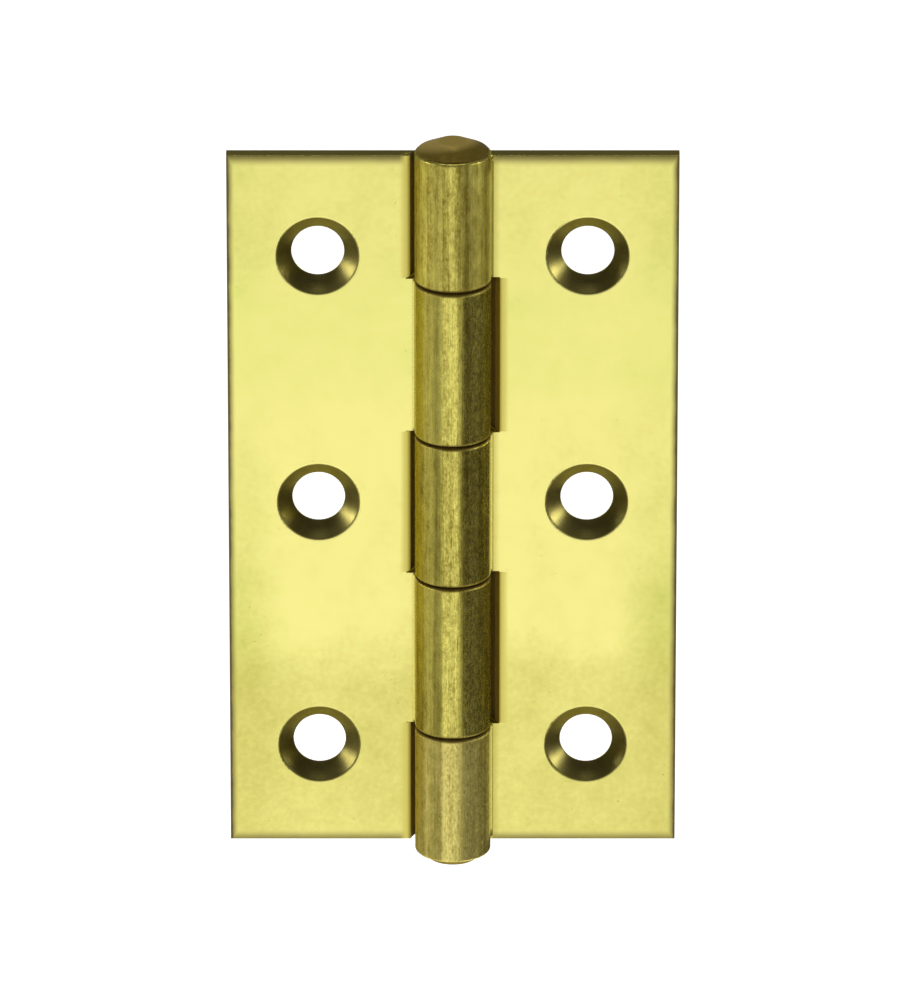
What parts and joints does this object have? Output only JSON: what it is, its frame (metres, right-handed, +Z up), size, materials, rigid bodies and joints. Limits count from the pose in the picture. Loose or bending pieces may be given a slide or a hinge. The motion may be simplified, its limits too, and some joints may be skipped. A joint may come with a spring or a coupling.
{
  "type": "butt hinge",
  "caption": "Brass butt hinge opened flat: leaves with countersunk screw holes and interleaved knuckles turning on a headed, peened pin.",
  "frame": {"origin": "on the pin's axis, halfway up the leaves", "axes": "+Z up along the pin to its head, +X to the three-knuckle leaf, countersunk faces towards -Y"},
  "size_m": [0.046, 0.0078, 0.0793],
  "materials": {
    "leaf_brass": "buffed flat faces, drawn satin knuckles, light tarnish",
    "pin_brass": "turned and peened, tarnished"
  },
  "bodies": {
    "frame_leaf": {"frame_leaf": "leaf_brass", "hinge_pin": "pin_brass"},
    "door_leaf": {"door_leaf": "leaf_brass"}
  },
  "joints": [
    {"name": "leaf_swing", "type": "hinge", "parent": "frame_leaf", "child": "door_leaf", "pos_m": [0, 0, 0], "axis": [0, 0, 1], "range_deg": [-110, 180]}
  ]
}
